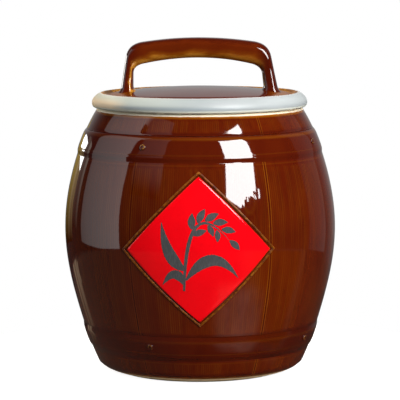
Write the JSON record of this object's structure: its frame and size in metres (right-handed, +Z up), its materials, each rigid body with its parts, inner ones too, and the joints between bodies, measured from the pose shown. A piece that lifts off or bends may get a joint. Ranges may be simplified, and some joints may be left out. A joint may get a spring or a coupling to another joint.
{
  "type": "rice storage jar",
  "caption": "Barrel-shaped glazed stoneware jar for rice, with staves, hoops, a raised diamond panel and a lift-off lid with a bridge handle.",
  "frame": {"origin": "on the ground, in the middle of the foot ring", "axes": "+Z up along the jar's axis, -Y towards the front with the diamond panel, and the lid's handle along X"},
  "size_m": [0.2798, 0.2814, 0.3434],
  "materials": {
    "brown_glaze": "glossy, thin and amber over edges",
    "hoop_glaze": "glossy",
    "amber_glaze": "glossy",
    "red_glaze": "glossy",
    "celadon_glaze": "glossy, with a brown crown",
    "handle_glaze": "glossy"
  },
  "bodies": {
    "jar": {"jar_body": "brown_glaze", "lower_hoop": "hoop_glaze", "upper_hoop": "hoop_glaze", "diamond_frame": "amber_glaze", "diamond_tile": "red_glaze"},
    "lid": {"lid": "celadon_glaze", "lid_handle": "handle_glaze"}
  },
  "joints": [
    {"name": "lid_lift", "type": "slide", "parent": "jar", "child": "lid", "axis": [0, 0, 1], "range_m": [0, 0.22]}
  ]
}
